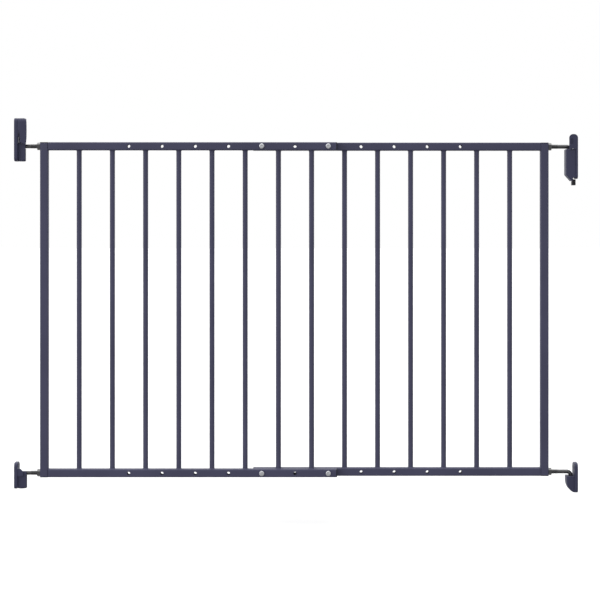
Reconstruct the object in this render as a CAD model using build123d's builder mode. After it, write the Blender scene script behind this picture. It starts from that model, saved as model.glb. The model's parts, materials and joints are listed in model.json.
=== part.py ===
from build123d import *
import os
from math import cos, pi, sin

# Extending safety gate between two walls, in millimetres, +Z up.
# X runs from the hinge wall (X = 0) across the opening to the latch wall.
# Y = 0 is the middle of the front section, and +Y is the side that the gate opens towards.
# Z = 0 is the axis of the lower hinge rod, level with the bottom rails.

# Overall sizes
rail_spacing = 649.0  # axis of the bottom rails to axis of the top rails
bar_gap = 56.0  # clear gap between two upright bars
bars_per_section = 8
meeting_hole_sum = 12  # extension setting: front hole n meets rear hole (this - n)

# Tubes of the two sections
tube_size = 16.0
tube_wall = 1.2
tube_corner = 2.6
bar_diameter = 10.0
bar_wall = 0.9
bar_insert = 6.0
rail_end_margin = 16.0
adjust_hole_diameter = 6.4

# Rods, their lock nuts and the inserts in the rails
rod_diameter = 8.0
rod_bend_radius = 8.0
rod_in_rail = 55.0
rod_hole_clearance = 0.3
rod_end_chamfer = 0.8
hinge_rod_reach = 36.5
latch_rod_reach = 45.0
hinge_leg_length = 26.0
lock_nut_flats = 13.0
lock_nut_length = 6.2
insert_length = 12.0

# Way kept free around a rod, and the lift that frees the latch legs
run_clearance = 0.8
leg_clearance = 1.0
lift_travel = 15.0
lift_out_clearance = 0.8

# Notch at the end of the upper latch leg
catch_disc_thickness = 0.9
catch_neck_diameter = 5.0
catch_neck_length = 5.0
catch_gap = 0.25
catch_overlap = 0.8

# Pivot bushes and their sockets
bush_wall = 1.0
bush_floor = 1.3
bush_running_clearance = 0.05
bush_end_clearance = 0.1
socket_clearance = 0.3
socket_floor = 2.5
socket_wall = 1.65  # between the socket and the plate's face
upper_boss_wall = 2.15
lower_boss_wall = 4.65
boss_web_width = 8.0
upper_knuckle_rise = 3.3  # height of a boss's raised front wall above the rod
lower_knuckle_rise = 0.3
upper_knuckle_corner = 4.0
lower_knuckle_corner = 3.0
knuckle_edge_fillet = 1.2

# Wall fittings
plate_thickness = 6.5
plate_width = 30.0
plate_top_corner = 8.0
plate_foot_corner = 7.0
plate_edge_fillet = 2.0
cheek_thickness = 2.8
upper_hinge_plate_top = 55.5
lower_hinge_plate_top = 21.5
wall_screw_diameter = 4.5
wall_screw_head = 8.5
upper_hinge_screws = (13.0, 41.0)
lower_screw_spacing = 15.0
lower_hinge_screw_height = 14.5
gusset_height = 9.5
gusset_reach = 5.5  # level part of its top, from the plate
gusset_overlap = 0.2  # into the boss's front wall

# Guard over the upper hinge rod; its reaches are measured from the hinge axis
guard_web = 1.4
guard_foot_reach = 9.1
guard_bulge_reach = 11.4
guard_shoulder_reach = 10.6
guard_corner = 6.5
guard_foot_drop = 5.5
guard_back_taper = 6.5
guard_shelf = 3.2
guard_roof = 4.0
guard_screw_clearance = 0.4
window_bottom = -2.0
window_top = 32.0
window_width = 5.0

# Latch side
cup_inner_wall = 0.5
cup_outer_wall = 5.0
latch_plate_thickness = 4.0
latch_plate_edge_fillet = 1.2
latch_plate_top = 21.5
latch_plate_bottom = -64.3
latch_screws = (10.0, -50.0)
hood_overhang = 5.1  # past the leg's axis
hood_top = 24.6
hood_corner = 7.5
hood_recess = (4.5, 11.0, 1.2)  # width, height and depth
hood_recess_height = 10.5
cup_plate_top = 18.2
cup_screw_height = 8.0
cup_rim_drop = 8.0
cup_belly_start = -16.4
cup_belly_root = 4.0
cup_bottom = -40.4
cup_width = 24.0
cup_edge_fillet = 3.0

# Housing of the release lever
housing_wall = 2.0
housing_width = 25.0
housing_corner = 2.5
housing_taper_start = -56.5
housing_tip = -68.5
housing_notch = -62.0
housing_mouth = 10.2
collar_wall = 2.0
collar_depth = 8.0
collar_lead_in = 1.2

# Release lever
lever_pivot_inset = 3.0  # from the leg's axis towards the room
lever_pivot_height = -38.0
lever_width = 10.0
lever_hub_radius = 4.0
lever_arm = 2.4
lever_room = 1.9
lever_slot_width = 4.8
lever_knee_rise = 4.0
lever_foot_rise = 2.0
lever_tip = -75.0
foot_clearance = 1.1
pivot_pin_diameter = 3.0
pivot_pin_cover = 0.8
pivot_running_clearance = 0.05
catch_tongue_thickness = 1.05
tab_wall = 1.2
tab_gap = 0.4
tab_length = 8.2
tab_heel_from_wall = 3.0
tab_heel_gap = 1.1  # below the plate, room to rise as the lever turns
spring_wire = 0.6
spring_turns = 3
spring_leg = 7.0

# Clamp fasteners, caps and plugs
screw_diameter = 6.0
screw_head_diameter = 10.5
screw_head_height = 3.2
screw_head_round = 1.9
screw_socket_radius = 2.0
screw_socket_depth = 1.9
washer_diameter = 12.0
washer_thickness = 1.2
nut_flats = 10.0
nut_height = 5.0
thread_past_nut = 2.0
plug_head = 1.6
plug_depth = 8.0
cap_head = 1.2
cap_depth = 1.8

# Worked out from the sizes above
rod_radius = rod_diameter / 2
run_room = rod_radius + run_clearance
leg_room = rod_radius + leg_clearance
bush_radius = rod_radius + bush_running_clearance + bush_wall
socket_radius = bush_radius + socket_clearance
hinge_axis_from_wall = plate_thickness + socket_wall + socket_radius
latch_axis_from_wall = plate_thickness + cup_inner_wall + leg_room
tube_half = tube_size / 2
tube_inside = tube_size - 2 * tube_wall
tube_inside_corner = tube_corner - tube_wall
rear_y = tube_size
bar_pitch = bar_gap + bar_diameter
first_bar = tube_half + bar_gap + bar_diameter / 2
holes_per_rail = bars_per_section - 1
rail_length = first_bar - tube_half + (bars_per_section - 0.5) * bar_pitch + rail_end_margin
post_distance = 2 * first_bar + (meeting_hole_sum + 1) * bar_pitch
front_post_x = hinge_axis_from_wall + hinge_rod_reach + tube_half
rear_post_x = front_post_x + post_distance
latch_axis_x = rear_post_x + tube_half + latch_rod_reach
opening_width = latch_axis_x + latch_axis_from_wall
rail_axes = {"bottom": 0.0, "top": rail_spacing}
clamp_holes = (meeting_hole_sum - holes_per_rail, holes_per_rail)
plate_half = plate_width / 2

os.makedirs("parts", exist_ok=True)


def save(piece, name):
    """Label a finished piece and write its STEP file."""
    piece.part.label = name
    export_step(piece.part, f"parts/{name}.step")


def plane_along_x(x, y, z):
    """Plane whose normal is +X, with its own x along +Y and its own y along +Z."""
    return Plane(origin=(x, y, z), x_dir=(0, 1, 0), z_dir=(1, 0, 0))


def plane_facing_front(y):
    """Plane whose normal is -Y, with its own x along +X and its own y along +Z."""
    return Plane(origin=(0, y, 0), x_dir=(1, 0, 0), z_dir=(0, -1, 0))


def rims_at(piece, height):
    """Circular edges of a piece that lie at one height, the smallest first."""
    slack = 0.01
    circles = piece.edges().filter_by(GeomType.CIRCLE)
    return circles.filter_by_position(Axis.Z, height - slack, height + slack).sort_by(SortBy.RADIUS)


def bar_x(post_x, way, number):
    """X of an upright bar, counted from its section's post."""
    return post_x + way * (first_bar + (number - 1) * bar_pitch)


def hole_x(post_x, way, number):
    """X of an adjusting hole; each lies halfway between two bars, from the second bar on."""
    return post_x + way * (first_bar + (number + 0.5) * bar_pitch)


# Sections: each is a post, two rails and eight bars, welded

def make_rail(post_x, way, y, z, bar_side):
    """Square tube rail, drilled for its bars on one side and right through for the clamp screws."""
    start_x = post_x + way * tube_half
    with BuildPart() as rail:
        with BuildSketch(plane_along_x(start_x, y, z)):
            RectangleRounded(tube_size, tube_size, tube_corner)
            RectangleRounded(tube_inside, tube_inside, tube_inside_corner, mode=Mode.SUBTRACT)
        extrude(amount=way * rail_length)
        bar_places = [
            (bar_x(post_x, way, n), y, z + bar_side * (tube_half - tube_wall / 2))
            for n in range(1, bars_per_section + 1)
        ]
        with Locations(*bar_places):
            Cylinder(bar_diameter / 2, 2 * tube_wall, mode=Mode.SUBTRACT)
        hole_places = [(hole_x(post_x, way, n), y, z) for n in range(1, holes_per_rail + 1)]
        with Locations(*hole_places):
            Cylinder(
                adjust_hole_diameter / 2, 2 * tube_size, rotation=(90, 0, 0), mode=Mode.SUBTRACT
            )
    return rail


def make_post(post_x, y):
    """Square tube post, drilled across for the two rods."""
    bottom = -tube_half + cap_head
    with BuildPart() as post:
        with BuildSketch(Plane.XY.offset(bottom)):
            with Locations((post_x, y)):
                RectangleRounded(tube_size, tube_size, tube_corner)
                RectangleRounded(
                    tube_inside, tube_inside, tube_inside_corner, mode=Mode.SUBTRACT
                )
        extrude(amount=rail_spacing + tube_size - 2 * cap_head)
        with Locations(*[(post_x, y, z) for z in rail_axes.values()]):
            Cylinder(
                rod_radius + rod_hole_clearance,
                2 * tube_size,
                rotation=(0, 90, 0),
                mode=Mode.SUBTRACT,
            )
    return post


def make_bar(x, y):
    """Round tube, upright, let into both rails."""
    with BuildPart() as bar:
        with BuildSketch(Plane.XY.offset(tube_half - bar_insert)):
            with Locations((x, y)):
                Circle(bar_diameter / 2)
                Circle(bar_diameter / 2 - bar_wall, mode=Mode.SUBTRACT)
        extrude(amount=rail_spacing - tube_size + 2 * bar_insert)
    return bar


def make_post_cap(post_x, y, way):
    """Flush plastic cap in the end of a post; way is +1 at the top and -1 at the bottom."""
    end_z = rail_spacing + tube_half if way > 0 else -tube_half
    with BuildPart() as cap:
        with BuildSketch(Plane.XY.offset(end_z - way * cap_head)):
            with Locations((post_x, y)):
                RectangleRounded(tube_size, tube_size, tube_corner)
        extrude(amount=way * cap_head)
        with BuildSketch(Plane.XY.offset(end_z - way * cap_head)):
            with Locations((post_x, y)):
                RectangleRounded(tube_inside, tube_inside, tube_inside_corner)
        extrude(amount=-way * cap_depth)
    return cap


def make_rail_plug(end_x, way, y, z):
    """Plastic plug in the free end of a rail, with its head on the outside."""
    with BuildPart() as plug:
        with BuildSketch(plane_along_x(end_x, y, z)):
            RectangleRounded(tube_size, tube_size, tube_corner)
        extrude(amount=way * plug_head)
        outer_face = plug.faces().sort_by(Axis.X)[-1 if way > 0 else 0]
        fillet(outer_face.edges(), plug_head / 2)
        with BuildSketch(plane_along_x(end_x, y, z)):
            RectangleRounded(tube_inside, tube_inside, tube_inside_corner)
        extrude(amount=-way * plug_depth)
    return plug


for side, post_x, way, y in (("front", front_post_x, 1, 0.0), ("rear", rear_post_x, -1, rear_y)):
    save(make_post(post_x, y), f"{side}_post")
    save(make_post_cap(post_x, y, 1), f"{side}_post_cap_top")
    save(make_post_cap(post_x, y, -1), f"{side}_post_cap_bottom")
    free_end_x = post_x + way * (tube_half + rail_length)
    for level, rail_z in rail_axes.items():
        towards_bars = 1 if level == "bottom" else -1
        save(make_rail(post_x, way, y, rail_z, towards_bars), f"{side}_{level}_rail")
        save(make_rail_plug(free_end_x, way, y, rail_z), f"{side}_{level}_rail_plug")
    for number in range(1, bars_per_section + 1):
        save(make_bar(bar_x(post_x, way, number), y), f"{side}_bar_{number}")


# Clamp fasteners through both rails

clamp_places = [
    (hole_x(front_post_x, 1, number), z) for number in clamp_holes for z in rail_axes.values()
]
clamp_front = -tube_half
clamp_back = rear_y + tube_half
shank_length = clamp_back - clamp_front + washer_thickness + nut_height + thread_past_nut

with BuildPart() as clamp_screws:
    with BuildSketch(plane_facing_front(clamp_front)):
        with Locations(*clamp_places):
            Circle(screw_diameter / 2)
    extrude(amount=-shank_length)
    with BuildSketch(plane_facing_front(clamp_front)):
        with Locations(*clamp_places):
            Circle(screw_head_diameter / 2)
    extrude(amount=screw_head_height)
    head_edges = clamp_screws.edges().filter_by(GeomType.CIRCLE).group_by(Axis.Y)[0]
    fillet(head_edges, screw_head_round)
    with BuildSketch(plane_facing_front(clamp_front - screw_head_height)):
        with Locations(*clamp_places):
            RegularPolygon(screw_socket_radius, 6)
    extrude(amount=-screw_socket_depth, mode=Mode.SUBTRACT)
save(clamp_screws, "clamp_screws")

with BuildPart() as clamp_washers:
    with BuildSketch(plane_facing_front(clamp_back)):
        with Locations(*clamp_places):
            Circle(washer_diameter / 2)
            Circle(screw_diameter / 2, mode=Mode.SUBTRACT)
    extrude(amount=-washer_thickness)
save(clamp_washers, "clamp_washers")

with BuildPart() as clamp_nuts:
    with BuildSketch(plane_facing_front(clamp_back + washer_thickness)):
        with Locations(*clamp_places):
            RegularPolygon(nut_flats / 2, 6, major_radius=False)
            Circle(screw_diameter / 2, mode=Mode.SUBTRACT)
    extrude(amount=-nut_height)
save(clamp_nuts, "clamp_nuts")


# Hooked rods, their lock nuts and the threaded inserts they screw into

def make_rod(axis_x, way, y, z, leg_length, reach):
    """Bent rod: a leg that hangs down at axis_x and a straight run into the rail's end."""
    end_x = axis_x + way * (reach + rod_in_rail)
    centre = Vector(axis_x + way * rod_bend_radius, y, z - rod_bend_radius)
    bend_middle = centre + Vector(-way * cos(pi / 4), 0, sin(pi / 4)) * rod_bend_radius
    with BuildPart() as rod:
        with BuildLine():
            Line((axis_x, y, z - leg_length), (axis_x, y, z - rod_bend_radius))
            ThreePointArc(
                (axis_x, y, z - rod_bend_radius),
                bend_middle,
                (axis_x + way * rod_bend_radius, y, z),
            )
            Line((axis_x + way * rod_bend_radius, y, z), (end_x, y, z))
        with BuildSketch(Plane(origin=(axis_x, y, z - leg_length), z_dir=(0, 0, 1))):
            Circle(rod_radius)
        sweep()
        run_end = rod.faces().filter_by(GeomType.PLANE).sort_by(Axis.X)[-1 if way > 0 else 0]
        chamfer(run_end.edges(), rod_end_chamfer)
    return rod


def make_lock_nut(post_face_x, way, y, z):
    """Hexagon nut on the rod, tight against the post's outer face."""
    with BuildPart() as nut:
        with BuildSketch(plane_along_x(post_face_x, y, z)):
            RegularPolygon(lock_nut_flats / 2, 6, major_radius=False, rotation=30)
            Circle(rod_radius, mode=Mode.SUBTRACT)
        extrude(amount=-way * lock_nut_length)
    return nut


def make_insert(post_x, way, y, z):
    """Threaded block in the rail's end that the rod screws into."""
    with BuildPart() as insert:
        with BuildSketch(plane_along_x(post_x + way * tube_half, y, z)):
            RectangleRounded(tube_inside, tube_inside, tube_inside_corner)
            Circle(rod_radius, mode=Mode.SUBTRACT)
        extrude(amount=way * insert_length)
    return insert


for level, rail_z in rail_axes.items():
    height = "upper" if level == "top" else "lower"
    front_face_x = front_post_x - tube_half
    rear_face_x = rear_post_x + tube_half
    hinge_rod = make_rod(hinge_axis_from_wall, 1, 0.0, rail_z, hinge_leg_length, hinge_rod_reach)
    save(hinge_rod, f"hinge_rod_{height}")
    save(make_lock_nut(front_face_x, 1, 0.0, rail_z), f"hinge_lock_nut_{height}")
    save(make_insert(front_post_x, 1, 0.0, rail_z), f"hinge_insert_{height}")
    save(make_lock_nut(rear_face_x, -1, rear_y, rail_z), f"latch_lock_nut_{height}")
    save(make_insert(rear_post_x, -1, rear_y, rail_z), f"latch_insert_{height}")

# A latch leg is as long as the lift can pull clear of the fitting that holds it
cup_rim = -cup_rim_drop
housing_top = -run_room
lower_leg_length = lift_travel + cup_rim_drop - lift_out_clearance
upper_leg_length = lift_travel + run_room - lift_out_clearance
latch_rod_lower = make_rod(latch_axis_x, -1, rear_y, 0.0, lower_leg_length, latch_rod_reach)
save(latch_rod_lower, "latch_rod_lower")

upper_leg_end = rail_spacing - upper_leg_length
catch_top = upper_leg_end + catch_disc_thickness
plain_upper_rod = make_rod(
    latch_axis_x, -1, rear_y, rail_spacing, upper_leg_length, latch_rod_reach
)
with BuildPart() as latch_rod_upper:
    add(plain_upper_rod.part)
    with BuildSketch(Plane.XY.offset(catch_top)):
        with Locations((latch_axis_x, rear_y)):
            Circle(rod_diameter)
            Circle(catch_neck_diameter / 2, mode=Mode.SUBTRACT)
    extrude(amount=catch_neck_length, mode=Mode.SUBTRACT)
save(latch_rod_upper, "latch_rod_upper")


# Pivot bushes: cups that turn on the hinge legs and slide in the sockets

def make_bush(rail_z):
    """Plastic bush, closed at its foot."""
    top = rail_z - rod_bend_radius - socket_clearance
    leg_end = rail_z - hinge_leg_length
    bore_floor = leg_end - bush_end_clearance
    with BuildPart() as bush:
        with BuildSketch(Plane.XY.offset(bore_floor - bush_floor)):
            with Locations((hinge_axis_from_wall, 0)):
                Circle(bush_radius)
        extrude(amount=top - bore_floor + bush_floor)
        with BuildSketch(Plane.XY.offset(bore_floor)):
            with Locations((hinge_axis_from_wall, 0)):
                Circle(rod_radius + bush_running_clearance)
        extrude(amount=top - bore_floor, mode=Mode.SUBTRACT)
    return bush


for height, rail_z in (("upper", rail_spacing), ("lower", 0.0)):
    save(make_bush(rail_z), f"pivot_bush_{height}")


# Hinge brackets on the left wall

socket_bottom = -(hinge_leg_length + bush_end_clearance + bush_floor + bush_end_clearance)
bracket_bottom = socket_bottom - socket_floor
boss_top = -run_room


def plate_outline(half_width, top, bottom):
    """Upright outline with round corners, its width along X and its height along Y."""
    with BuildSketch() as outline:
        with Locations((0, (top + bottom) / 2)):
            Rectangle(2 * half_width, top - bottom)
        fillet(outline.vertices().group_by(Axis.Y)[-1], plate_top_corner)
        fillet(outline.vertices().group_by(Axis.Y)[0], plate_foot_corner)
    return outline


def make_plate(wall_x, way, y, top, bottom, thickness, edge_fillet, screw_places):
    """Wall plate with round corners and countersunk holes for wall screws."""
    outline = plate_outline(plate_half, top, bottom)
    with BuildPart() as plate:
        with BuildSketch(plane_along_x(wall_x, y, 0)):
            add(outline.sketch)
        extrude(amount=way * thickness)
        room_face = plate.faces().sort_by(Axis.X)[-1 if way > 0 else 0]
        fillet(room_face.edges(), edge_fillet)
        with BuildSketch(plane_along_x(wall_x, y, 0)):
            with Locations(*[(hole_y - y, hole_z) for hole_y, hole_z in screw_places]):
                Circle(wall_screw_diameter / 2)
        extrude(amount=way * thickness, mode=Mode.SUBTRACT)
        circles = plate.edges().filter_by(GeomType.CIRCLE)
        drilled = circles.filter_by(lambda edge: abs(edge.radius - wall_screw_diameter / 2) < 0.01)
        mouths = drilled.group_by(Axis.X)[-1 if way > 0 else 0]
        chamfer(mouths, (wall_screw_head - wall_screw_diameter) / 2)
    return plate


def make_knuckle(rail_z, boss_radius, top, corner):
    """Flat front wall of a boss; the rod's run passes behind it and over the boss."""
    foot = bracket_bottom + plate_edge_fillet
    with BuildPart() as knuckle:
        with BuildSketch(plane_facing_front(-boss_radius)):
            with Locations((hinge_axis_from_wall, rail_z + (foot + top) / 2)):
                RectangleRounded(2 * boss_radius, top - foot, corner)
        extrude(amount=run_room - boss_radius)
        front_face = knuckle.faces().sort_by(Axis.Y)[0]
        fillet(front_face.edges(), knuckle_edge_fillet)
        with BuildSketch(Plane.XY.offset(rail_z + foot)):
            with Locations((hinge_axis_from_wall, 0)):
                Circle(socket_radius)
        extrude(amount=top - foot, mode=Mode.SUBTRACT)
    return knuckle


def make_hinge_bracket(
    rail_z, plate_top, screw_places, boss_wall, knuckle_rise, knuckle_corner
):
    """Wall plate with the socket boss that carries the gate."""
    boss_radius = socket_radius + boss_wall
    foot_z = rail_z + bracket_bottom
    rim_z = rail_z + boss_top
    plate = make_plate(
        0, 1, 0, rail_z + plate_top, foot_z, plate_thickness, plate_edge_fillet, screw_places
    )
    knuckle = make_knuckle(rail_z, boss_radius, rod_radius + knuckle_rise, knuckle_corner)
    with BuildPart() as boss:
        with BuildSketch(Plane.XY.offset(foot_z)):
            with Locations((hinge_axis_from_wall, 0)):
                Circle(boss_radius)
        extrude(amount=rim_z - foot_z)
        fillet(rims_at(boss, foot_z), plate_edge_fillet)
    with BuildPart() as bracket:
        add(plate.part)
        with BuildSketch(Plane.XY.offset(foot_z + plate_edge_fillet)):
            with Locations((hinge_axis_from_wall / 2, 0)):
                Rectangle(hinge_axis_from_wall, boss_web_width)
        extrude(amount=rim_z - foot_z - plate_edge_fillet)
        add(boss.part)
        with BuildSketch(Plane.XY.offset(rail_z + socket_bottom)):
            with Locations((hinge_axis_from_wall, 0)):
                Circle(socket_radius)
        extrude(amount=boss_top - socket_bottom, mode=Mode.SUBTRACT)
        chamfer(rims_at(bracket, rim_z)[0], upper_boss_wall / 3)
        add(knuckle.part)
    return bracket


lower_hinge_places = [
    (side * lower_screw_spacing / 2, lower_hinge_screw_height) for side in (-1, 1)
]
plain_lower_bracket = make_hinge_bracket(
    0.0,
    lower_hinge_plate_top,
    lower_hinge_places,
    lower_boss_wall,
    lower_knuckle_rise,
    lower_knuckle_corner,
)
gusset_inside = socket_radius + lower_boss_wall - gusset_overlap
with BuildPart() as hinge_lower_bracket:
    add(plain_lower_bracket.part)
    # Gusset beside the rod, on the side away from the way the gate opens
    with BuildSketch(plane_facing_front(-gusset_inside)):
        with BuildLine():
            Polyline(
                (plate_thickness / 2, boss_top),
                (plate_thickness / 2, gusset_height),
                (plate_thickness + gusset_reach, gusset_height),
                (hinge_axis_from_wall + rod_radius, rod_radius),
                (hinge_axis_from_wall + rod_radius, boss_top),
                close=True,
            )
        make_face()
    extrude(amount=plate_half - plate_edge_fillet - gusset_inside)
save(hinge_lower_bracket, "hinge_lower_bracket")

upper_hinge_places = [(0, rail_spacing + height) for height in upper_hinge_screws]
hinge_upper_bracket = make_hinge_bracket(
    rail_spacing,
    upper_hinge_plate_top,
    upper_hinge_places,
    upper_boss_wall,
    upper_knuckle_rise,
    upper_knuckle_corner,
)
save(hinge_upper_bracket, "hinge_upper_bracket")

# Guard over the upper hinge rod: a hood with a front cheek, open on the side the gate opens to
guard_start = plate_thickness
guard_half = plate_half - plate_edge_fillet / 2
guard_foot = rail_spacing + rod_radius + upper_knuckle_rise + socket_clearance
guard_low = guard_foot - guard_foot_drop
guard_top = rail_spacing + upper_hinge_plate_top
guard_shoulder = guard_top - guard_corner
corner_inset = guard_corner * (1 - cos(pi / 4))
lift_stop = rail_spacing + rod_radius + lift_travel + socket_clearance
shelf_reach = hinge_axis_from_wall + rod_radius
rib_reach = hinge_axis_from_wall - rod_radius - socket_clearance
window_middle = rail_spacing + (window_bottom + window_top) / 2
window_x = guard_start + window_width / 2 + socket_clearance
guard_sides = plate_outline(guard_half, guard_top, guard_low - 2 * plate_foot_corner)
foot_x = hinge_axis_from_wall + guard_foot_reach
bulge_x = hinge_axis_from_wall + guard_bulge_reach
shoulder_x = hinge_axis_from_wall + guard_shoulder_reach

with BuildPart() as hinge_upper_guard:
    # Hood: the side outline, bulging outwards, as wide as the plate
    with BuildSketch(plane_facing_front(guard_half)):
        with BuildLine():
            Polyline(
                (guard_start, guard_foot), (hinge_axis_from_wall, guard_foot), (foot_x, guard_low)
            )
            ThreePointArc(
                (foot_x, guard_low),
                (bulge_x, (guard_foot + guard_shoulder) / 2),
                (shoulder_x, guard_shoulder),
            )
            ThreePointArc(
                (shoulder_x, guard_shoulder),
                (shoulder_x - corner_inset, guard_top - corner_inset),
                (shoulder_x - guard_corner, guard_top),
            )
            Line((shoulder_x - guard_corner, guard_top), (guard_start, guard_top))
            Line((guard_start, guard_top), (guard_start, guard_foot))
        make_face()
    extrude(amount=2 * guard_half)
    with BuildSketch(plane_along_x(0, 0, 0)):
        add(guard_sides.sketch)
    extrude(amount=2 * bulge_x, mode=Mode.INTERSECT)
    # Its reach grows less towards the open side
    with BuildSketch(Plane.XY.offset(guard_low)):
        Polygon(
            (guard_start, -guard_half),
            (bulge_x, -guard_half),
            (bulge_x - guard_back_taper, guard_half),
            (guard_start, guard_half),
            align=None,
        )
    extrude(amount=guard_top - guard_low, mode=Mode.INTERSECT)
    # Hollow it, leaving the web, the roof and the front cheek
    with BuildSketch(plane_facing_front(guard_half)):
        with Locations((guard_start + guard_web, guard_low)):
            Rectangle(
                bulge_x,
                guard_top - guard_roof - guard_low,
                align=(Align.MIN, Align.MIN),
            )
    extrude(amount=2 * guard_half - cheek_thickness, mode=Mode.SUBTRACT)
    # Shelf that stops the lifted rod
    with BuildSketch(Plane.XY.offset(lift_stop)):
        with Locations((guard_start, 0)):
            Rectangle(
                shelf_reach - guard_start, 2 * guard_half, align=(Align.MIN, Align.CENTER)
            )
    extrude(amount=guard_shelf)
    # Rib behind the window, clear of the turning rod, and wider above the shelf
    with BuildSketch(plane_facing_front(guard_half)):
        with Locations((guard_start, guard_foot)):
            Rectangle(
                rib_reach - guard_start,
                guard_shoulder - guard_foot,
                align=(Align.MIN, Align.MIN),
            )
        with Locations((guard_start, lift_stop)):
            Rectangle(
                shelf_reach - guard_start,
                guard_shoulder - lift_stop,
                align=(Align.MIN, Align.MIN),
            )
    extrude(amount=cheek_thickness)
    # Lens-shaped window through the cheek
    with BuildSketch(plane_facing_front(-guard_half + cheek_thickness)):
        with BuildLine():
            ThreePointArc(
                (window_x, rail_spacing + window_bottom),
                (window_x - window_width / 2, window_middle),
                (window_x, rail_spacing + window_top),
            )
            ThreePointArc(
                (window_x, rail_spacing + window_top),
                (window_x + window_width / 2, window_middle),
                (window_x, rail_spacing + window_bottom),
            )
        make_face()
    extrude(amount=cheek_thickness, mode=Mode.SUBTRACT)
    # Room for the heads of the wall screws
    with BuildSketch(plane_along_x(guard_start, 0, 0)):
        with Locations(*upper_hinge_places):
            Circle(wall_screw_head / 2 + guard_screw_clearance)
    extrude(amount=guard_web, mode=Mode.SUBTRACT)
save(hinge_upper_guard, "hinge_upper_guard")


# Latch side, placed by distances from the right wall

def from_wall(distance, height):
    """Point in the X-Z plane, from its distance to the latch wall and its height."""
    return (opening_width - distance, height)


upper_latch_places = [(rear_y, rail_spacing + height) for height in latch_screws]
latch_back = make_plate(
    opening_width,
    -1,
    rear_y,
    rail_spacing + latch_plate_top,
    rail_spacing + latch_plate_bottom,
    latch_plate_thickness,
    latch_plate_edge_fillet,
    upper_latch_places,
)
hood_reach = latch_axis_from_wall + hood_overhang
hood_foot = rail_spacing + housing_top + socket_clearance
hood_crown = rail_spacing + hood_top
recess_width, recess_height, recess_depth = hood_recess
with BuildPart() as latch_upper_plate:
    add(latch_back.part)
    # Hood cheek in front of the rod's bend, on the side the gate doesn't open to
    with BuildSketch(plane_facing_front(rear_y - plate_half + cheek_thickness)) as hood_side:
        with Locations(from_wall(hood_reach / 2, (hood_foot + hood_crown) / 2)):
            Rectangle(hood_reach, hood_crown - hood_foot)
        fillet(hood_side.vertices().group_by(Axis.Y)[-1], hood_corner)
    extrude(amount=cheek_thickness)
    with BuildSketch(plane_facing_front(rear_y - plate_half)):
        with Locations(from_wall(latch_axis_from_wall, rail_spacing + hood_recess_height)):
            SlotOverall(recess_height, recess_width, rotation=90)
    extrude(amount=-recess_depth, mode=Mode.SUBTRACT)
save(latch_upper_plate, "latch_upper_plate")

cup_reach = latch_axis_from_wall + leg_room + cup_outer_wall
cup_places = [(rear_y + side * lower_screw_spacing / 2, cup_screw_height) for side in (-1, 1)]
cup_back = make_plate(
    opening_width,
    -1,
    rear_y,
    cup_plate_top,
    cup_bottom,
    plate_thickness,
    plate_edge_fillet,
    cup_places,
)
with BuildPart() as cup_body:
    with BuildSketch(plane_facing_front(rear_y)):
        with BuildLine():
            Line(from_wall(0, cup_bottom), from_wall(0, cup_rim))
            Line(from_wall(0, cup_rim), from_wall(cup_reach, cup_rim))
            Line(from_wall(cup_reach, cup_rim), from_wall(cup_reach, cup_belly_start))
            EllipticalCenterArc(
                from_wall(cup_belly_root, cup_belly_start),
                cup_reach - cup_belly_root,
                cup_belly_start - cup_bottom,
                start_angle=180,
                arc_size=90,
            )
            Line(from_wall(cup_belly_root, cup_bottom), from_wall(0, cup_bottom))
        make_face()
    extrude(amount=cup_width / 2, both=True)
    lip = cup_body.faces().sort_by(Axis.X)[0].edges()
    belly = cup_body.edges().filter_by(GeomType.ELLIPSE)
    fillet(lip.filter_by(Axis.Z) + belly, cup_edge_fillet)

with BuildPart() as latch_lower_cup:
    add(cup_back.part)
    add(cup_body.part)
    # Socket for the leg
    with BuildSketch(Plane.XY.offset(cup_rim)):
        with Locations((latch_axis_x, rear_y)):
            Circle(leg_room)
    extrude(amount=-(lower_leg_length + cup_rim + leg_clearance), mode=Mode.SUBTRACT)
    chamfer(rims_at(latch_lower_cup, cup_rim)[0], leg_clearance / 2)
save(latch_lower_cup, "latch_lower_cup")

# Housing of the release lever: a shell that snaps onto the upper latch plate
arm_near = latch_axis_from_wall + rod_radius + catch_overlap
arm_far = arm_near + lever_arm
housing_reach = arm_far + lever_room + housing_wall
housing_back = latch_plate_thickness
housing_inside = housing_reach - housing_wall
taper_slope = (housing_taper_start - housing_tip) / (housing_reach - housing_mouth - housing_wall)
inside_taper_start = housing_taper_start + housing_wall / 2
inside_tip = inside_taper_start - taper_slope * (housing_inside - housing_mouth)
housing_outline = [
    from_wall(housing_back, rail_spacing + housing_top),
    from_wall(housing_reach, rail_spacing + housing_top),
    from_wall(housing_reach, rail_spacing + housing_taper_start),
    from_wall(housing_mouth + housing_wall, rail_spacing + housing_tip),
    from_wall(housing_mouth, rail_spacing + housing_tip),
    from_wall(housing_mouth, rail_spacing + housing_notch),
    from_wall(housing_back, rail_spacing + housing_notch),
]
cavity_outline = [
    from_wall(0, rail_spacing + housing_top - housing_wall),
    from_wall(housing_inside, rail_spacing + housing_top - housing_wall),
    from_wall(housing_inside, rail_spacing + inside_taper_start),
    from_wall(housing_mouth, rail_spacing + inside_tip),
    from_wall(housing_mouth, rail_spacing + housing_tip - housing_wall),
    from_wall(0, rail_spacing + housing_tip - housing_wall),
]
lever_pivot_from_wall = latch_axis_from_wall + lever_pivot_inset
pivot_place = from_wall(lever_pivot_from_wall, rail_spacing + lever_pivot_height)
pivot_pin_half = housing_width / 2 - pivot_pin_cover

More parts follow.
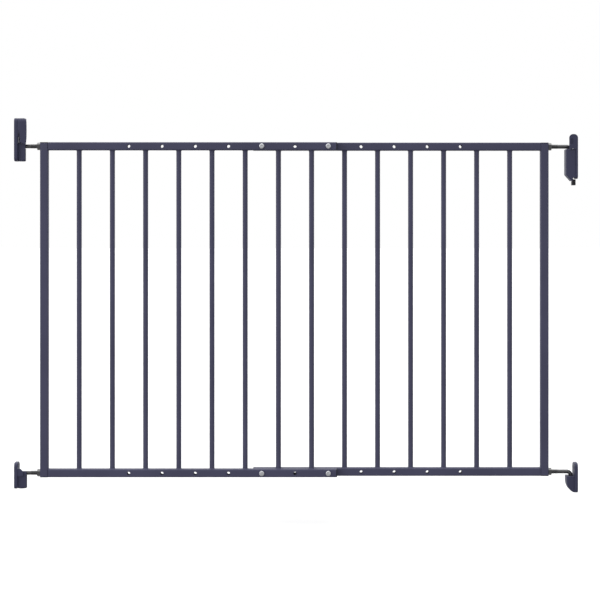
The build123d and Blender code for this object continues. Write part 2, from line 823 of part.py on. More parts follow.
with BuildPart() as latch_upper_housing:
    with BuildSketch(plane_facing_front(rear_y)) as housing_side:
        Polygon(*housing_outline, align=None)
        fillet(housing_side.vertices().group_by(Axis.X)[0], housing_corner)
    extrude(amount=housing_width / 2, both=True)
    room_face = latch_upper_housing.faces().sort_by(Axis.X)[0]
    fillet(room_face.edges().filter_by(Axis.Z), housing_wall)
    with BuildSketch(plane_facing_front(rear_y)):
        Polygon(*cavity_outline, align=None)
    extrude(amount=housing_width / 2 - housing_wall, both=True, mode=Mode.SUBTRACT)
    # Collar that guides the leg
    with BuildSketch(Plane.XY.offset(rail_spacing + housing_top)):
        with Locations((latch_axis_x, rear_y)):
            Circle(leg_room + collar_wall)
    extrude(amount=-collar_depth)
    with BuildSketch(Plane.XY.offset(rail_spacing + housing_top)):
        with Locations((latch_axis_x, rear_y)):
            Circle(leg_room)
    extrude(amount=-collar_depth, mode=Mode.SUBTRACT)
    chamfer(rims_at(latch_upper_housing, rail_spacing + housing_top)[0], collar_lead_in)
    # The plate closes the back of the housing
    with BuildSketch(Plane.XY.offset(rail_spacing + housing_top)):
        with Locations((opening_width - housing_back / 2, rear_y)):
            Rectangle(housing_back, housing_width)
    extrude(amount=-collar_depth, mode=Mode.SUBTRACT)
    # Blind holes for the lever's pin
    with BuildSketch(plane_facing_front(rear_y)):
        with Locations(pivot_place):
            Circle(pivot_pin_diameter / 2)
    extrude(amount=pivot_pin_half, both=True, mode=Mode.SUBTRACT)
save(latch_upper_housing, "latch_upper_housing")

with BuildPart() as lever_pivot_pin:
    with BuildSketch(plane_facing_front(rear_y)):
        with Locations(pivot_place):
            Circle(pivot_pin_diameter / 2)
    extrude(amount=pivot_pin_half, both=True)
save(lever_pivot_pin, "lever_pivot_pin")

# Release lever: a tongue over the catch disc, a hub on the pin and a foot that is pressed
tongue_low = catch_top + catch_gap
tongue_high = tongue_low + catch_tongue_thickness
tongue_tip = latch_axis_from_wall + rod_radius - catch_overlap
foot_far = housing_mouth - foot_clearance
foot_near = foot_far - lever_arm
knee_near = lever_pivot_from_wall - lever_arm / 2
knee_far = knee_near + lever_arm
knee_z = rail_spacing + housing_taper_start + lever_knee_rise
foot_z = rail_spacing + housing_tip + lever_foot_rise
tip_z = rail_spacing + lever_tip
lever_outline = [
    from_wall(arm_near, tongue_low),
    from_wall(tongue_tip, tongue_low),
    from_wall(tongue_tip, tongue_high),
    from_wall(arm_far, tongue_high),
    from_wall(arm_far, rail_spacing + lever_pivot_height),
    from_wall(knee_far, rail_spacing + lever_pivot_height),
    from_wall(knee_far, knee_z),
    from_wall(foot_far, foot_z),
    from_wall(foot_far, tip_z),
    from_wall(foot_near, tip_z),
    from_wall(foot_near, foot_z),
    from_wall(knee_near, knee_z),
    from_wall(knee_near, rail_spacing + lever_pivot_height),
    from_wall(arm_near, rail_spacing + lever_pivot_height),
]
with BuildPart() as latch_lever:
    with BuildSketch(plane_facing_front(rear_y)):
        Polygon(*lever_outline, align=None)
        with Locations(pivot_place):
            Circle(lever_hub_radius)
            Circle(pivot_pin_diameter / 2 + pivot_running_clearance, mode=Mode.SUBTRACT)
    extrude(amount=lever_width / 2, both=True)
    # Slot in the hub for the spring's coil
    with BuildSketch(plane_facing_front(rear_y)):
        with Locations(pivot_place):
            Circle(lever_hub_radius + spring_wire)
    extrude(amount=lever_slot_width / 2, both=True, mode=Mode.SUBTRACT)
save(latch_lever, "latch_lever")

tab_x = opening_width - (foot_far + foot_near) / 2
tab_top = rail_spacing + housing_tip - tab_gap
tab_low = tab_top - tab_length
heel_x = opening_width - (tab_heel_from_wall + foot_far) / 2
heel_top = rail_spacing + latch_plate_bottom - tab_heel_gap
with BuildPart() as release_tab:
    with BuildSketch(Plane.XY.offset(tab_low)):
        with Locations((tab_x, rear_y)):
            RectangleRounded(lever_arm + 2 * tab_wall, lever_width + 2 * tab_wall, tab_wall)
    extrude(amount=tab_length)
    # Heel towards the wall, under the plate
    with BuildSketch(Plane.XY.offset(tab_low)):
        with Locations((heel_x, rear_y)):
            RectangleRounded(
                foot_far - tab_heel_from_wall, lever_width + 2 * tab_wall, tab_wall
            )
    extrude(amount=heel_top - tab_low)
    tab_foot = release_tab.faces().sort_by(Axis.Z)[0]
    fillet(tab_foot.edges(), tab_wall * 0.9)
    with BuildSketch(Plane.XY.offset(tip_z)):
        with Locations((tab_x, rear_y)):
            Rectangle(lever_arm, lever_width)
    extrude(amount=heel_top - tip_z, mode=Mode.SUBTRACT)
save(release_tab, "release_tab")

coil_pitch = spring_wire * 1.5
coil_radius = pivot_pin_diameter / 2 + 2 * spring_wire
coil_height = coil_pitch * spring_turns
coil_start = (pivot_place[0], rear_y - coil_height / 2, pivot_place[1])
with BuildPart() as level_spring:
    with BuildLine():
        coil = Helix(
            coil_pitch, coil_height, coil_radius, center=coil_start, direction=(0, 1, 0)
        )
    with BuildSketch(Plane(origin=coil @ 0, z_dir=coil % 0)):
        Circle(spring_wire / 2)
    sweep(path=coil, is_frenet=True)
    with BuildSketch(Plane(origin=coil @ 1, z_dir=coil % 1)):
        Circle(spring_wire / 2)
    extrude(amount=spring_leg)
    with BuildSketch(Plane(origin=coil @ 0, z_dir=coil % 0)):
        Circle(spring_wire / 2)
    extrude(amount=-spring_leg)

# The coil's two legs stand upright, one along each arm of the lever
upright_spring = level_spring.part.rotate(Axis(coil_start, (0, 1, 0)), 90)
with BuildPart() as lever_spring:
    add(upright_spring)
save(lever_spring, "lever_spring")

print(f"opening {opening_width:.1f} mm, posts {front_post_x:.1f} and {rear_post_x:.1f} mm")
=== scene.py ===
"""Looks of an extending safety gate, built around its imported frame."""

import json
import logging
import math
from dataclasses import dataclass, field
from enum import Enum

import bmesh
import bpy
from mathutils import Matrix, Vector


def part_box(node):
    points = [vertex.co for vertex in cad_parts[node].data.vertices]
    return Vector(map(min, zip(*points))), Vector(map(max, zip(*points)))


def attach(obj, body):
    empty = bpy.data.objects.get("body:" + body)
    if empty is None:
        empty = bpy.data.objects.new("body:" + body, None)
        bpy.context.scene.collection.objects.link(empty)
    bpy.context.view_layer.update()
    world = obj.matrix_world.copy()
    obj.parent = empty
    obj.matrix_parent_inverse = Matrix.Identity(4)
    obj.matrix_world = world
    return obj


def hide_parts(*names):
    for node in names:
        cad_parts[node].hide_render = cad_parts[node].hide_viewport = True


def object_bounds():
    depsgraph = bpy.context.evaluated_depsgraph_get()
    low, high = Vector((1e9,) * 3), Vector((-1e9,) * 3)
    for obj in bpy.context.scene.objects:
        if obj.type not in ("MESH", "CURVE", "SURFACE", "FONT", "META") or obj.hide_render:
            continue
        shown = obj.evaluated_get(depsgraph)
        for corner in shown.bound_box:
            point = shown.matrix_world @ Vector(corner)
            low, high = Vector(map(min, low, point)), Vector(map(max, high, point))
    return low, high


LOG = logging.getLogger("safety_gate")
MILLIMETRE = 0.001
MERGE_DISTANCE = 0.002 * MILLIMETRE
FLAT_DEGREES = 0.6
WHITE = (1.0, 1.0, 1.0, 1.0)
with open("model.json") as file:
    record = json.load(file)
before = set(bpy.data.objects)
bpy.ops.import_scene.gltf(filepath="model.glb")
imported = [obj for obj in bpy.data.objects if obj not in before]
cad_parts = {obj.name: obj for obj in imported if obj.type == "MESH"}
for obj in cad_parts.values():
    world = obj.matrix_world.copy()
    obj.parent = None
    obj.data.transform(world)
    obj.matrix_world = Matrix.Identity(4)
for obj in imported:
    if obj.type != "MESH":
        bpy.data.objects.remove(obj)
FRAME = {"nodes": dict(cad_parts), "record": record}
CAD_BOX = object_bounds()


class Slot(Enum):
    """Material slots of the gate's record."""

    POWDER_COAT = "powder_coat"
    BRACKET_PLASTIC = "bracket_plastic"
    BLACK_ROD = "black_rod"
    ZINC = "zinc"
    BLACK_PLASTIC = "black_plastic"
    NYLON = "nylon"
    SPRING_STEEL = "spring_steel"


class Level(Enum):
    """The two heights at which the gate has rails and rods."""

    TOP = "top"
    BOTTOM = "bottom"


class Side(Enum):
    """The two barred sections of the gate."""

    FRONT = "front"
    REAR = "rear"


@dataclass(frozen=True)
class Tone:
    """A colour in linear light."""

    red: float
    green: float
    blue: float

    def scaled(self, factor: float) -> tuple[float, float, float, float]:
        """Return this colour made lighter or darker, as RGBA."""
        return (self.red * factor, self.green * factor, self.blue * factor, 1.0)


class NodeBoard:
    """A material's node tree with short calls for adding and joining nodes."""

    def __init__(self, name: str) -> None:
        """Start a material with a Principled shader.

        Args:
            name: Name of the new material.
        """
        self.material = bpy.data.materials.new(name)
        self.material.use_nodes = True
        self.tree = self.material.node_tree
        self.shader = self.tree.nodes["Principled BSDF"]
        self.coordinates = self.tree.nodes.new("ShaderNodeTexCoord").outputs["Object"]

    def link(self, output: bpy.types.NodeSocket, target: bpy.types.NodeSocket) -> None:
        """Join an output to an input."""
        self.tree.links.new(output, target)

    def stretched(self, scale: tuple[float, float, float]) -> bpy.types.NodeSocket:
        """Return object coordinates scaled by a Mapping node.

        Args:
            scale: Factor along each axis.

        Returns:
            The scaled vector.
        """
        mapping = self.tree.nodes.new("ShaderNodeMapping")
        mapping.inputs["Scale"].default_value = scale
        self.link(self.coordinates, mapping.inputs["Vector"])
        return mapping.outputs["Vector"]

    def noise(
        self,
        scale: float,
        detail: float = 2.0,
        roughness: float = 0.5,
        vector: bpy.types.NodeSocket | None = None,
    ) -> bpy.types.NodeSocket:
        """Add a noise pattern.

        Args:
            scale: Cells per metre.
            detail: Octaves.
            roughness: How strong the finer octaves are.
            vector: Coordinates to use in place of the object's own.

        Returns:
            The pattern, about 0 to 1.
        """
        node = self.tree.nodes.new("ShaderNodeTexNoise")
        node.inputs["Scale"].default_value = scale
        node.inputs["Detail"].default_value = detail
        node.inputs["Roughness"].default_value = roughness
        self.link(vector or self.coordinates, node.inputs["Vector"])
        return node.outputs["Fac"]

    def cells(self, scale: float, feature: str = "F1") -> bpy.types.NodeSocket:
        """Add a Voronoi pattern.

        Args:
            scale: Cells per metre.
            feature: Voronoi feature to read.

        Returns:
            Distance within each cell.
        """
        node = self.tree.nodes.new("ShaderNodeTexVoronoi")
        node.feature = feature
        node.inputs["Scale"].default_value = scale
        self.link(self.coordinates, node.inputs["Vector"])
        return node.outputs["Distance"]

    def remap(
        self,
        value: bpy.types.NodeSocket,
        low: float,
        high: float,
        start: float = 0.3,
        end: float = 0.7,
    ) -> bpy.types.NodeSocket:
        """Turn a pattern into a value between two limits.

        Args:
            value: Pattern to read.
            low: Result at start and below.
            high: Result at end and above.
            start: Pattern value that gives low.
            end: Pattern value that gives high.

        Returns:
            The remapped value.
        """
        node = self.tree.nodes.new("ShaderNodeMapRange")
        node.inputs["From Min"].default_value = start
        node.inputs["From Max"].default_value = end
        node.inputs["To Min"].default_value = low
        node.inputs["To Max"].default_value = high
        self.link(value, node.inputs["Value"])
        return node.outputs["Result"]

    def ramp(
        self,
        value: bpy.types.NodeSocket,
        stops: list[tuple[float, tuple[float, float, float, float]]],
    ) -> bpy.types.NodeSocket:
        """Colour a pattern.

        Args:
            value: Pattern to read.
            stops: Position and colour of each stop, from low to high.

        Returns:
            The colour.
        """
        node = self.tree.nodes.new("ShaderNodeValToRGB")
        elements = node.color_ramp.elements
        while len(elements) < len(stops):
            elements.new(0.5)
        for element, (position, colour) in zip(elements, stops):
            element.position = position
            element.color = colour
        self.link(value, node.inputs["Fac"])
        return node.outputs["Color"]

    def mixed(
        self,
        factor: bpy.types.NodeSocket,
        first: bpy.types.NodeSocket,
        second: tuple[float, float, float, float],
    ) -> bpy.types.NodeSocket:
        """Lay a fixed colour over another where a pattern is high.

        Args:
            factor: How much of the second colour shows.
            first: Colour underneath.
            second: Colour on top.

        Returns:
            The mixed colour.
        """
        node = self.tree.nodes.new("ShaderNodeMix")
        node.data_type = "RGBA"
        self.link(factor, node.inputs["Factor"])
        self.link(first, node.inputs["A"])
        node.inputs["B"].default_value = second
        return node.outputs["Result"]

    def bump(self, layers: list[tuple[bpy.types.NodeSocket, float, float]]) -> None:
        """Give the shader a relief made of several patterns.

        Args:
            layers: Each pattern with its strength and its height in metres.
        """
        normal = None
        for height, strength, distance in layers:
            node = self.tree.nodes.new("ShaderNodeBump")
            node.inputs["Strength"].default_value = strength
            node.inputs["Distance"].default_value = distance
            self.link(height, node.inputs["Height"])
            if normal is not None:
                self.link(normal, node.inputs["Normal"])
            normal = node.outputs["Normal"]
        if normal is not None:
            self.link(normal, self.shader.inputs["Normal"])

    def set(self, socket: str, value: float | tuple) -> None:
        """Set a constant on the shader's own socket."""
        self.shader.inputs[socket].default_value = value

    def paint(self, colour: bpy.types.NodeSocket, roughness: bpy.types.NodeSocket) -> None:
        """Give the shader its colour and its roughness."""
        self.link(colour, self.shader.inputs["Base Color"])
        self.link(roughness, self.shader.inputs["Roughness"])

    def toned(
        self, value: bpy.types.NodeSocket, tone: Tone, dark: float, light: float
    ) -> bpy.types.NodeSocket:
        """Vary a colour's depth with a pattern.

        Args:
            value: Pattern to read.
            tone: Middle colour.
            dark: Factor on the colour where the pattern is low.
            light: Factor on the colour where the pattern is high.

        Returns:
            The colour.
        """
        return self.ramp(value, [(0.3, tone.scaled(dark)), (0.7, tone.scaled(light))])


@dataclass(frozen=True)
class PowderCoat:
    """Baked powder paint: fine orange peel, pinprick texture and slow changes of tone."""

    name: str = "powder_coat_blue_grey"
    tone: Tone = Tone(0.060, 0.060, 0.110)
    peel_scale: float = 900.0
    grit_scale: float = 3200.0
    drift_scale: float = 7.0
    roughness_low: float = 0.44
    roughness_high: float = 0.6
    sheen: float = 0.28

    def make(self) -> bpy.types.Material:
        """Return the finished material."""
        board = NodeBoard(self.name)
        drift = board.noise(self.drift_scale, 3.0)
        grit = board.noise(self.grit_scale, 2.0, 0.6)
        peel = board.noise(self.peel_scale, 2.0, 0.45)
        base = board.toned(drift, self.tone, 0.9, 1.12)
        specks = board.remap(grit, 0.0, 0.35, 0.55, 0.75)
        board.paint(
            board.mixed(specks, base, self.tone.scaled(1.6)),
            board.remap(peel, self.roughness_low, self.roughness_high),
        )
        board.set("Specular IOR Level", self.sheen)
        board.bump([(peel, 0.25, 0.00012), (grit, 0.3, 0.00004)])
        return board.material


@dataclass(frozen=True)
class MouldedPlastic:
    """Injection-moulded plastic with a spark-eroded grain and faint flow marks."""

    name: str = "bracket_plastic_blue_grey"
    tone: Tone = Tone(0.040, 0.041, 0.083)
    grain_scale: float = 1500.0
    roughness_low: float = 0.4
    roughness_high: float = 0.58
    sheen: float = 0.3

    def make(self) -> bpy.types.Material:
        """Return the finished material."""
        board = NodeBoard(self.name)
        flow = board.noise(22.0, 3.0, 0.55, board.stretched((1.0, 1.0, 0.25)))
        grain = board.noise(self.grain_scale, 3.0, 0.65)
        pits = board.cells(self.grain_scale * 0.8)
        base = board.toned(flow, self.tone, 0.86, 1.16)
        worn = board.remap(grain, 0.0, 0.3, 0.5, 0.75)
        board.paint(
            board.mixed(worn, base, self.tone.scaled(1.5)),
            board.remap(grain, self.roughness_low, self.roughness_high),
        )
        board.set("Specular IOR Level", self.sheen)
        board.bump([(grain, 0.35, 0.00008), (pits, 0.2, 0.00005)])
        return board.material


@dataclass(frozen=True)
class GlossCoat:
    """Glossy black dip coat, a little uneven, with fine scuffs along the rod."""

    name: str = "black_rod_coat"
    tone: Tone = Tone(0.006, 0.006, 0.009)
    roughness_low: float = 0.14
    roughness_high: float = 0.3
    sheen: float = 1.0
    coat: float = 0.6
    coat_roughness: float = 0.12

    def make(self) -> bpy.types.Material:
        """Return the finished material."""
        board = NodeBoard(self.name)
        sag = board.noise(260.0, 2.0)
        scuffs = board.noise(1400.0, 3.0, 0.7, board.stretched((0.12, 1.0, 1.0)))
        base = board.toned(sag, self.tone, 0.8, 1.5)
        rubbed = board.remap(scuffs, 0.0, 0.25, 0.6, 0.8)
        board.paint(
            board.mixed(rubbed, base, self.tone.scaled(4.0)),
            board.remap(scuffs, self.roughness_low, self.roughness_high),
        )
        board.set("Specular IOR Level", self.sheen)
        board.set("Coat Weight", self.coat)
        board.set("Coat Roughness", self.coat_roughness)
        board.bump([(sag, 0.2, 0.00008), (scuffs, 0.12, 0.00003)])
        return board.material


@dataclass(frozen=True)
class PlatedMetal:
    """Bright plated or drawn metal with a faint crystal pattern and turning marks."""

    name: str
    tone: Tone
    roughness_low: float = 0.22
    roughness_high: float = 0.38

    def make(self) -> bpy.types.Material:
        """Return the finished material."""
        board = NodeBoard(self.name)
        spangle = board.cells(650.0)
        marks = board.noise(2600.0, 2.0, 0.6, board.stretched((1.0, 0.2, 1.0)))
        haze = board.noise(180.0, 3.0)
        base = board.toned(haze, self.tone, 0.88, 1.06)
        shade = board.remap(spangle, 0.0, 0.25, 0.1, 0.7)
        board.paint(
            board.mixed(shade, base, self.tone.scaled(0.72)),
            board.remap(marks, self.roughness_low, self.roughness_high),
        )
        board.set("Metallic", 1.0)
        board.bump([(marks, 0.15, 0.00003)])
        return board.material


@dataclass(frozen=True)
class NaturalNylon:
    """Milky nylon, slightly waxy and let through by light."""

    name: str = "natural_nylon"
    tone: Tone = Tone(0.55, 0.53, 0.47)
    roughness_low: float = 0.3
    roughness_high: float = 0.45
    glow: float = 0.15
    glow_depth: float = 2.0 * MILLIMETRE

    def make(self) -> bpy.types.Material:
        """Return the finished material."""
        board = NodeBoard(self.name)
        cloud = board.noise(300.0, 3.0)
        grain = board.noise(2000.0, 2.0)
        board.paint(
            board.toned(cloud, self.tone, 0.9, 1.08),
            board.remap(grain, self.roughness_low, self.roughness_high),
        )
        board.set("Subsurface Weight", self.glow)
        board.set("Subsurface Scale", self.glow_depth)
        board.bump([(grain, 0.2, 0.00004)])
        return board.material


FINISHES = {
    Slot.POWDER_COAT: PowderCoat(),
    Slot.BRACKET_PLASTIC: MouldedPlastic(),
    Slot.BLACK_ROD: GlossCoat(),
    Slot.ZINC: PlatedMetal("bright_zinc", Tone(0.66, 0.67, 0.70)),
    Slot.BLACK_PLASTIC: MouldedPlastic(
        "black_plastic_grained", Tone(0.010, 0.010, 0.013), 1800.0, 0.38, 0.55
    ),
    Slot.NYLON: NaturalNylon(),
    Slot.SPRING_STEEL: PlatedMetal("spring_wire", Tone(0.42, 0.42, 0.44), 0.28, 0.42),
}


class Workshop:
    """Makes materials once and turns meshes into pieces, logging the faces of each."""

    def __init__(self) -> None:
        """Make every finish."""
        self.materials = {slot: finish.make() for slot, finish in FINISHES.items()}
        self.slots = {
            part["node"]: Slot(part["material_slot"]) for part in FRAME["record"]["subparts"]
        }
        self.bodies = {
            node: body
            for body, nodes in FRAME["record"]["behaviour"]["bodies"].items()
            for node in nodes
        }

    def publish(self, mesh: bmesh.types.BMesh, name: str, slot: Slot, body: str) -> bpy.types.Object:
        """Turn a bmesh into a piece that rides on a body.

        Args:
            mesh: Finished geometry, in the row frame, in metres. It is freed.
            name: Name of the new piece.
            slot: Material slot whose finish the piece takes.
            body: Body that carries the piece.

        Returns:
            The new object.
        """
        data = bpy.data.meshes.new(name)
        mesh.to_mesh(data)
        mesh.free()
        data.materials.append(self.materials[slot])
        piece = bpy.data.objects.new(name, data)
        bpy.context.scene.collection.objects.link(piece)
        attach(piece, body)
        LOG.info("made %s with %d faces", name, len(data.polygons))
        return piece

    def dress_frame(self) -> None:
        """Give every CAD node the finish of its slot."""
        for name, node in FRAME["nodes"].items():
            node.data.materials.clear()
            node.data.materials.append(self.materials[self.slots[name]])


def merged_copy(node: str) -> bmesh.types.BMesh:
    """Copy a CAD node as one closed mesh with flat faces in one piece.

    Args:
        node: Name of the CAD node.

    Returns:
        The copy.
    """
    mesh = bmesh.new()
    mesh.from_mesh(FRAME["nodes"][node].data)
    bmesh.ops.remove_doubles(mesh, verts=mesh.verts, dist=MERGE_DISTANCE)
    bmesh.ops.dissolve_limit(
        mesh,
        angle_limit=math.radians(FLAT_DEGREES),
        verts=mesh.verts,
        edges=mesh.edges,
        use_dissolve_boundaries=False,
    )
    bmesh.ops.recalc_face_normals(mesh, faces=mesh.faces)
    return mesh


def shade_by_angle(mesh: bmesh.types.BMesh, degrees: float) -> None:
    """Shade smoothly, except across edges sharper than an angle.

    Args:
        mesh: Mesh to shade.
        degrees: Angle past which an edge stays crisp.
    """
    limit = math.radians(degrees)
    for face in mesh.faces:
        face.smooth = True
    for edge in mesh.edges:
        edge.smooth = edge.calc_face_angle(0.0) < limit


@dataclass
class EasedPart:
    """A copy of a CAD part whose sharp edges are eased, as moulding or coating leaves them."""

    node: str
    ease: float = 0.4 * MILLIMETRE
    segments: int = 3
    sharp_degrees: float = 32.0

    def build(self, workshop: Workshop) -> bpy.types.Object:
        """Make the eased copy stand for its CAD node.

        Args:
            workshop: Where the piece is finished.

        Returns:
            The new piece.
        """
        mesh = merged_copy(self.node)
        shade_by_angle(mesh, self.sharp_degrees)
        piece = workshop.publish(
            mesh, f"eased_{self.node}", workshop.slots[self.node], workshop.bodies[self.node]
        )
        bevel = piece.modifiers.new("eased_edges", "BEVEL")
        bevel.width = self.ease
        bevel.segments = self.segments
        bevel.limit_method = "ANGLE"
        bevel.angle_limit = math.radians(self.sharp_degrees)
        bevel.use_clamp_overlap = True
        bevel.harden_normals = True
        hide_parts(self.node)
        return piece


@dataclass
class WeldBead:
    """A ring of weld around a round bar where it enters a rail."""

    bar_radius: float = 5.0 * MILLIMETRE
    reach: float = 1.5 * MILLIMETRE
    height: float = 1.6 * MILLIMETRE
    inset: float = 0.3 * MILLIMETRE
    root: float = 0.2 * MILLIMETRE
    steps: int = 40
    ripples: int = 14
    ripple_depth: float = 0.12 * MILLIMETRE
    phase_per_metre: float = 900.0
    sharp_degrees: float = 50.0

    def add_to(self, mesh: bmesh.types.BMesh, place: Vector, upward: float) -> None:
        """Spin one bead into a mesh.

        Args:
            mesh: Mesh that takes the bead.
            place: Point where the bar's axis meets the rail's face.
            upward: +1 where the bar goes up from the rail, -1 where it goes down.
        """
        inner = self.bar_radius - self.inset
        profile = [
            (inner, self.height),
            (self.bar_radius + 0.12 * self.reach, self.height * 0.9),
            (self.bar_radius + 0.42 * self.reach, self.height * 0.42),
            (self.bar_radius + self.reach, 0.0),
            (self.bar_radius + self.reach, -self.root),
            (inner, -self.root),
        ]
        ring = [
            mesh.verts.new(place + Vector((radius, 0.0, upward * rise))) for radius, rise in profile
        ]
        edges = [mesh.edges.new(pair) for pair in zip(ring, ring[1:] + ring[:1])]
        before = set(mesh.verts) - set(ring)
        bmesh.ops.spin(
            mesh,
            geom=ring + edges,
            cent=place,
            axis=(0.0, 0.0, 1.0),
            angle=2 * math.pi,
            steps=self.steps,
            use_merge=True,
        )
        for vertex in set(mesh.verts) - before:
            offset = vertex.co - place
            flat = Vector((offset.x, offset.y, 0.0))
            if flat.length > self.bar_radius + 0.1 * self.reach:
                turn = math.atan2(flat.y, flat.x)
                swell = math.sin(turn * self.ripples + place.x * self.phase_per_metre)
                vertex.co += flat.normalized() * swell * self.ripple_depth


@dataclass
class BarredSection:
    """One welded section: a post, two rails and their bars."""

    side: Side
    bars: int = 8
    bead: WeldBead = field(default_factory=WeldBead)

    def rail(self, level: Level) -> str:
        """Return the name of a rail's CAD node."""
        return f"{self.side.value}_{level.value}_rail"

    def build(self, workshop: Workshop) -> None:
        """Ease the tubes and weld the bars in.

        Args:
            workshop: Where the pieces are finished.
        """
        EasedPart(f"{self.side.value}_post", 0.3 * MILLIMETRE).build(workshop)
        for level in Level:
            EasedPart(self.rail(level), 0.35 * MILLIMETRE).build(workshop)
            EasedPart(f"{self.rail(level)}_plug", 0.25 * MILLIMETRE).build(workshop)
            EasedPart(f"{self.side.value}_post_cap_{level.value}", 0.3 * MILLIMETRE).build(workshop)
            self.weld(workshop, level)
        for number in range(1, self.bars + 1):
            EasedPart(f"{self.side.value}_bar_{number}", 0.1 * MILLIMETRE, 1).build(workshop)

    def weld(self, workshop: Workshop, level: Level) -> None:
        """Make the weld beads along one rail.

        Args:
            workshop: Where the piece is finished.
            level: Which of the section's rails.
        """
        low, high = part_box(self.rail(level))
        face_z, upward = (high.z, 1.0) if level is Level.BOTTOM else (low.z, -1.0)
        mesh = bmesh.new()
        for number in range(1, self.bars + 1):
            bar_low, bar_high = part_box(f"{self.side.value}_bar_{number}")
            middle = (bar_low + bar_high) / 2
            self.bead.add_to(mesh, Vector((middle.x, middle.y, face_z)), upward)
        bmesh.ops.recalc_face_normals(mesh, faces=mesh.faces)
        shade_by_angle(mesh, self.bead.sharp_degrees)
        workshop.publish(mesh, f"{self.rail(level)}_welds", Slot.POWDER_COAT, "gate")


@dataclass
class RodSet:
    """The four hooked rods with their lock nuts and rolled threads."""

    radius: float = 4.0 * MILLIMETRE
    pitch: float = 1.25 * MILLIMETRE
    turns: int = 11
    thread_depth: float = 0.35 * MILLIMETRE
    thread_root: float = 0.1 * MILLIMETRE
    steps_per_turn: int = 28
    sharp_degrees: float = 40.0

    def build(self, workshop: Workshop) -> None:
        """Ease the rods and nuts and roll a thread beside each nut.

        Args:
            workshop: Where the pieces are finished.
        """
        for hand, way in (("hinge", -1.0), ("latch", 1.0)):
            for height in ("upper", "lower"):
                EasedPart(f"{hand}_rod_{height}", 0.3 * MILLIMETRE).build(workshop)
                EasedPart(f"{hand}_lock_nut_{height}", 0.5 * MILLIMETRE).build(workshop)
                self.thread(workshop, f"{hand}_lock_nut_{height}", way)

    def thread(self, workshop: Workshop, nut: str, way: float) -> None:
        """Roll a helical ridge on the rod, from inside the nut outwards.

        Args:
            workshop: Where the piece is finished.
            nut: CAD node of the lock nut beside the thread.
            way: Direction along X from the nut towards the wall.
        """
        low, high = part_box(nut)
        middle = (low + high) / 2
        start = Vector(((low.x if way < 0 else high.x) - way * self.pitch, middle.y, middle.z))
        mesh = bmesh.new()
        half = self.pitch * 0.42
        crest = half * 0.35
        profile = [
            (-half, self.radius - self.thread_root),
            (-crest, self.radius + self.thread_depth),
            (crest, self.radius + self.thread_depth),
            (half, self.radius - self.thread_root),
        ]
        ring = [mesh.verts.new(start + Vector((x, 0.0, r))) for x, r in profile]
        edges = [mesh.edges.new(pair) for pair in zip(ring, ring[1:] + ring[:1])]
        ends = [mesh.faces.new(ring)]
        made = bmesh.ops.spin(
            mesh,
            geom=ring + edges,
            cent=start,
            axis=(1.0, 0.0, 0.0),
            dvec=(way * self.pitch / self.steps_per_turn, 0.0, 0.0),
            angle=2 * math.pi * self.turns,
            steps=self.steps_per_turn * self.turns,
            use_merge=False,
        )
        last = [item for item in made["geom_last"] if isinstance(item, bmesh.types.BMVert)]
        if len(last) == len(ring):
            ends.append(mesh.faces.new(last))
        bmesh.ops.recalc_face_normals(mesh, faces=mesh.faces)
        shade_by_angle(mesh, self.sharp_degrees)
        workshop.publish(mesh, nut.replace("lock_nut", "thread"), Slot.BLACK_ROD, "gate")


@dataclass
class Fasteners:
    """Clamp screws with their washers and nuts."""

    nodes: tuple[str, ...] = ("clamp_screws", "clamp_washers", "clamp_nuts")

    def build(self, workshop: Workshop) -> None:
        """Ease the fasteners' edges.

        Args:
            workshop: Where the pieces are finished.
        """
        for node in self.nodes:
            EasedPart(node, 0.3 * MILLIMETRE, 3, 28.0).build(workshop)


@dataclass
class WallFittings:
    """The moulded fittings on both walls and the release lever."""

    moulded: tuple[str, ...] = (
        "hinge_upper_bracket",
        "hinge_upper_guard",
        "hinge_lower_bracket",
        "latch_upper_plate",
        "latch_upper_housing",
        "latch_lower_cup",
    )
    working: tuple[str, ...] = ("latch_lever", "release_tab", "pivot_bush_upper", "pivot_bush_lower")

    def build(self, workshop: Workshop) -> None:
        """Ease the mouldings' edges.

        Args:
            workshop: Where the pieces are finished.
        """
        for node in self.moulded:
            EasedPart(node, 0.7 * MILLIMETRE, 4, 28.0).build(workshop)
        for node in self.working:
            EasedPart(node, 0.25 * MILLIMETRE).build(workshop)


@dataclass(frozen=True)
class Lamp:
    """A soft square light: its place from the middle of the gate, its side and its power."""

    name: str
    offset: tuple[float, float, float]
    size: float
    power: float


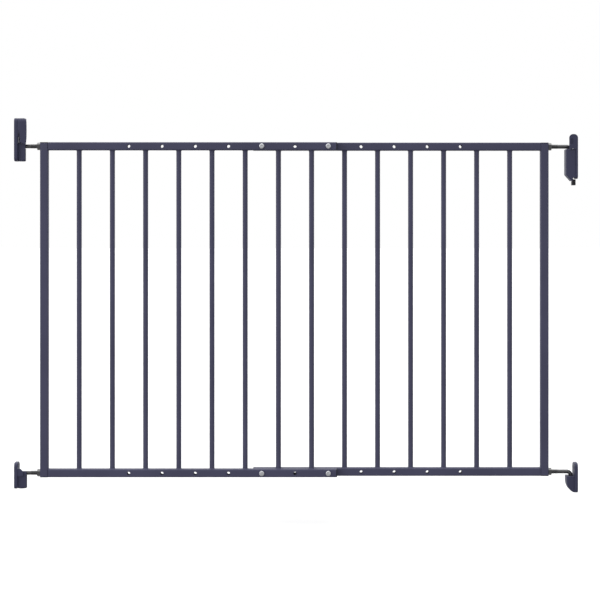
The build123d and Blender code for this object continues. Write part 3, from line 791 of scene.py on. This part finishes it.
@dataclass
class Studio:
    """Pale floor, soft lights and the camera."""

    camera_distance: float = 3.0
    camera_height: float = 0.5
    lens: float = 90.77
    sensor: float = 36.0
    shift: tuple[float, float] = (0.0054, -0.1312)
    floor_drop: float = 0.05
    floor_reach: float = 30.0
    sky_low: float = 0.3
    sky_high: float = 1.3
    sky_lean: tuple[float, float, float] = (-0.35, 0.35, 0.87)
    overhead_strength: float = 0.9
    overhead_spread: float = 70.0
    overhead_tilt: float = -12.0
    lights: tuple[Lamp, ...] = (
        Lamp("key_light", (-2.4, -1.6, 1.2), 1.4, 16.0),
        Lamp("fill_light", (2.4, -2.0, 0.6), 1.6, 4.0),
        Lamp("back_light", (-1.2, 2.6, 1.0), 1.6, 0.8),
    )

    def build(self) -> None:
        """Set the floor, the sky, the lights and the camera."""
        low, high = CAD_BOX
        middle = (low + high) / 2
        self.lay_floor(middle, low.z - self.floor_drop)
        self.light_sky()
        self.raise_sun()
        for lamp in self.lights:
            self.hang_light(lamp, middle)
        self.place_camera(middle)

    def lay_floor(self, middle: Vector, height: float) -> None:
        """Lay a wide pale floor under the gate.

        Args:
            middle: Middle of the gate.
            height: Height of the floor.
        """
        board = NodeBoard("pale_floor")
        colour = board.toned(board.noise(3.0), Tone(1.0, 1.0, 1.0), 0.86, 0.9)
        board.link(colour, board.shader.inputs["Base Color"])
        board.set("Roughness", 0.9)
        mesh = bmesh.new()
        bmesh.ops.create_grid(mesh, x_segments=2, y_segments=2, size=self.floor_reach)
        bmesh.ops.translate(mesh, vec=(middle.x, middle.y, height), verts=mesh.verts)
        data = bpy.data.meshes.new("floor")
        mesh.to_mesh(data)
        mesh.free()
        data.materials.append(board.material)
        floor = bpy.data.objects.new("floor", data)
        bpy.context.scene.collection.objects.link(floor)
        floor.visible_diffuse = False
        floor.visible_glossy = False

    def light_sky(self) -> None:
        """Light the scene from all round, most from above, before a white backdrop."""
        world = bpy.data.worlds.new("studio")
        bpy.context.scene.world = world
        world.use_nodes = True
        nodes, links = world.node_tree.nodes, world.node_tree.links
        sky = nodes["Background"]
        place = nodes.new("ShaderNodeTexCoord")
        lean = nodes.new("ShaderNodeVectorMath")
        lean.operation = "DOT_PRODUCT"
        lean.inputs[1].default_value = self.sky_lean
        strength = nodes.new("ShaderNodeMapRange")
        strength.inputs["From Min"].default_value = -1.0
        strength.inputs["To Min"].default_value = self.sky_low
        strength.inputs["To Max"].default_value = self.sky_high
        links.new(place.outputs["Generated"], lean.inputs[0])
        links.new(lean.outputs["Value"], strength.inputs["Value"])
        links.new(strength.outputs["Result"], sky.inputs["Strength"])
        sky.inputs["Color"].default_value = WHITE
        backdrop = nodes.new("ShaderNodeBackground")
        backdrop.inputs["Color"].default_value = WHITE
        choice = nodes.new("ShaderNodeMixShader")
        path = nodes.new("ShaderNodeLightPath")
        links.new(path.outputs["Is Camera Ray"], choice.inputs[0])
        links.new(sky.outputs["Background"], choice.inputs[1])
        links.new(backdrop.outputs["Background"], choice.inputs[2])
        links.new(choice.outputs["Shader"], nodes["World Output"].inputs["Surface"])
        bpy.context.scene.view_settings.view_transform = "Standard"

    def raise_sun(self) -> None:
        """Add a broad, soft light from overhead, which whitens the floor evenly."""
        data = bpy.data.lights.new("overhead_light", "SUN")
        data.energy = self.overhead_strength
        data.angle = math.radians(self.overhead_spread)
        light = bpy.data.objects.new("overhead_light", data)
        light.rotation_euler = (math.radians(self.overhead_tilt), 0.0, 0.0)
        bpy.context.scene.collection.objects.link(light)

    def hang_light(self, lamp: Lamp, target: Vector) -> None:
        """Hang a soft square light.

        Args:
            lamp: The light.
            target: Point that it faces.
        """
        data = bpy.data.lights.new(lamp.name, "AREA")
        data.size = lamp.size
        data.energy = lamp.power
        light = bpy.data.objects.new(lamp.name, data)
        place = target + Vector(lamp.offset)
        light.location = place
        light.rotation_euler = (target - place).to_track_quat("-Z", "Y").to_euler()
        bpy.context.scene.collection.objects.link(light)

    def place_camera(self, middle: Vector) -> None:
        """Set a level camera in front of the gate.

        Args:
            middle: Middle of the gate.
        """
        data = bpy.data.cameras.new("camera")
        data.lens = self.lens
        data.sensor_width = self.sensor
        data.shift_x, data.shift_y = self.shift
        camera = bpy.data.objects.new("camera", data)
        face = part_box("front_top_rail")[0].y
        camera.location = (middle.x, face - self.camera_distance, self.camera_height)
        camera.rotation_euler = (math.radians(90.0), 0.0, 0.0)
        bpy.context.scene.collection.objects.link(camera)
        bpy.context.scene.camera = camera


def main() -> None:
    """Build every sub-assembly, then the studio."""
    logging.basicConfig(level=logging.INFO)
    workshop = Workshop()
    workshop.dress_frame()
    for side in Side:
        BarredSection(side).build(workshop)
    RodSet().build(workshop)
    Fasteners().build(workshop)
    WallFittings().build(workshop)
    Studio().build()
    bpy.context.view_layer.update()


if __name__ == "__main__":
    main()
